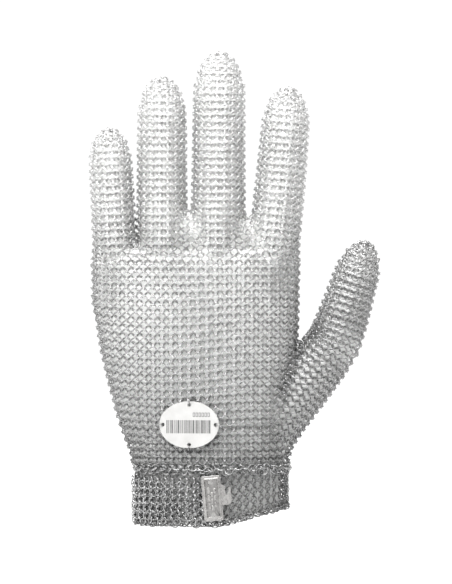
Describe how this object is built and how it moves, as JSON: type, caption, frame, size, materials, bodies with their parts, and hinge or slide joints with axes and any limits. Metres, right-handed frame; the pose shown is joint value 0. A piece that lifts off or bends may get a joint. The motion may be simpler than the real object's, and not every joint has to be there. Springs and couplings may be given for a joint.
{
  "type": "cut resistant glove",
  "caption": "Ring mesh glove for the left hand with jointed fingers, a flap cuff closed by a hook clasp, and an oval number tag.",
  "frame": {"origin": "centre of the wrist opening, at the cuff's lower edge", "axes": "+Z from the wrist towards the fingertips, -Y out of the back of the hand, +X towards the thumb"},
  "size_m": [0.1329, 0.0427, 0.218],
  "materials": {
    "ring_mesh": "bright drawn stainless wire rings",
    "liner": "fine white knit",
    "clasp": "satin stamped stainless",
    "tag": "white enamelled plate, satin"
  },
  "bodies": {
    "cuff": {"cuff_mesh": "ring_mesh", "cuff_liner": "liner"},
    "cuff_flap": {"cuff_flap_mesh": "ring_mesh"},
    "clasp": {"clasp_hook_plate": "clasp", "clasp_cover": "clasp", "clasp_rivet_upper": "clasp", "clasp_rivet_lower": "clasp"},
    "palm": {"palm_mesh": "ring_mesh", "palm_liner": "liner", "tag_plate": "tag", "tag_ring_top": "ring_mesh", "tag_ring_bottom": "ring_mesh", "tag_ring_little_side": "ring_mesh", "tag_ring_thumb_side": "ring_mesh"},
    "little_proximal": {"little_proximal_mesh": "ring_mesh", "little_proximal_liner": "liner"},
    "little_middle": {"little_middle_mesh": "ring_mesh", "little_middle_liner": "liner"},
    "little_tip": {"little_tip_mesh": "ring_mesh", "little_tip_liner": "liner"},
    "ring_proximal": {"ring_proximal_mesh": "ring_mesh", "ring_proximal_liner": "liner"},
    "ring_middle": {"ring_middle_mesh": "ring_mesh", "ring_middle_liner": "liner"},
    "ring_tip": {"ring_tip_mesh": "ring_mesh", "ring_tip_liner": "liner"},
    "middle_proximal": {"middle_proximal_mesh": "ring_mesh", "middle_proximal_liner": "liner"},
    "middle_middle": {"middle_middle_mesh": "ring_mesh", "middle_middle_liner": "liner"},
    "middle_tip": {"middle_tip_mesh": "ring_mesh", "middle_tip_liner": "liner"},
    "index_proximal": {"index_proximal_mesh": "ring_mesh", "index_proximal_liner": "liner"},
    "index_middle": {"index_middle_mesh": "ring_mesh", "index_middle_liner": "liner"},
    "index_tip": {"index_tip_mesh": "ring_mesh", "index_tip_liner": "liner"},
    "thumb_root": {"thumb_root_mesh": "ring_mesh", "thumb_root_liner": "liner"},
    "thumb_proximal": {"thumb_proximal_mesh": "ring_mesh", "thumb_proximal_liner": "liner"},
    "thumb_tip": {"thumb_tip_mesh": "ring_mesh", "thumb_tip_liner": "liner"}
  },
  "joints": [
    {"name": "wrist_flex", "type": "hinge", "parent": "cuff", "child": "palm", "pos_m": [-0.0015, 0, 0.034], "axis": [-1, 0, 0], "range_deg": [-28, 50]},
    {"name": "cuff_flap_hinge", "type": "hinge", "parent": "cuff", "child": "cuff_flap", "pos_m": [-0.038, 0, 0.0125], "axis": [0, 0, -1], "range_deg": [0, 110]},
    {"name": "clasp_hinge", "type": "hinge", "parent": "cuff_flap", "child": "clasp", "pos_m": [-0.0064, -0.0209, 0.0132], "axis": [-0.0872, 0, -0.9962], "range_deg": [0, 75]},
    {"name": "little_knuckle", "type": "hinge", "parent": "palm", "child": "little_proximal", "pos_m": [-0.0457, -0.0045, 0.121], "axis": [-0.9986, 0, -0.0523], "range_deg": [-15, 80]},
    {"name": "little_middle_joint", "type": "hinge", "parent": "little_proximal", "child": "little_middle", "pos_m": [-0.04706, -0.0045, 0.14696], "axis": [-0.9986, 0, -0.0523], "range_deg": [0, 90]},
    {"name": "little_end_joint", "type": "hinge", "parent": "little_middle", "child": "little_tip", "pos_m": [-0.04798, -0.0045, 0.16444], "axis": [-0.9986, 0, -0.0523], "range_deg": [0, 50]},
    {"name": "ring_knuckle", "type": "hinge", "parent": "palm", "child": "ring_proximal", "pos_m": [-0.0244, -0.0045, 0.132], "axis": [-1, 0, 0], "range_deg": [-15, 80]},
    {"name": "ring_middle_joint", "type": "hinge", "parent": "ring_proximal", "child": "ring_middle", "pos_m": [-0.0244, -0.0045, 0.164], "axis": [-1, 0, 0], "range_deg": [0, 90]},
    {"name": "ring_end_joint", "type": "hinge", "parent": "ring_middle", "child": "ring_tip", "pos_m": [-0.0244, -0.0045, 0.186], "axis": [-1, 0, 0], "range_deg": [0, 50]},
    {"name": "middle_knuckle", "type": "hinge", "parent": "palm", "child": "middle_proximal", "pos_m": [0.0014, -0.0045, 0.133], "axis": [-1, 0, 0.0087], "range_deg": [-15, 80]},
    {"name": "middle_middle_joint", "type": "hinge", "parent": "middle_proximal", "child": "middle_middle", "pos_m": [0.00171, -0.0045, 0.169], "axis": [-1, 0, 0.0087], "range_deg": [0, 90]},
    {"name": "middle_end_joint", "type": "hinge", "parent": "middle_middle", "child": "middle_tip", "pos_m": [0.00194, -0.0045, 0.195], "axis": [-1, 0, 0.0087], "range_deg": [0, 50]},
    {"name": "index_knuckle", "type": "hinge", "parent": "palm", "child": "index_proximal", "pos_m": [0.0272, -0.0045, 0.13], "axis": [-0.9945, 0, 0.1045], "range_deg": [-15, 80]},
    {"name": "index_middle_joint", "type": "hinge", "parent": "index_proximal", "child": "index_middle", "pos_m": [0.03044, -0.0045, 0.16083], "axis": [-0.9962, 0, 0.0872], "range_deg": [0, 90]},
    {"name": "index_end_joint", "type": "hinge", "parent": "index_middle", "child": "index_tip", "pos_m": [0.03227, -0.0045, 0.18175], "axis": [-0.9976, 0, 0.0698], "range_deg": [0, 50]},
    {"name": "thumb_saddle", "type": "hinge", "parent": "palm", "child": "thumb_root", "pos_m": [0.033, 0.0015, 0.055], "axis": [-0.7405, -0.342, 0.5785], "range_deg": [-10, 15]},
    {"name": "thumb_knuckle", "type": "hinge", "parent": "thumb_root", "child": "thumb_proximal", "pos_m": [0.05547, 0.0015, 0.08376], "axis": [-0.8962, -0.342, 0.2826], "range_deg": [-5, 35]},
    {"name": "thumb_end_joint", "type": "hinge", "parent": "thumb_proximal", "child": "thumb_tip", "pos_m": [0.06239, 0.0015, 0.1057], "axis": [-0.9174, -0.342, 0.2034], "range_deg": [0, 60]}
  ]
}
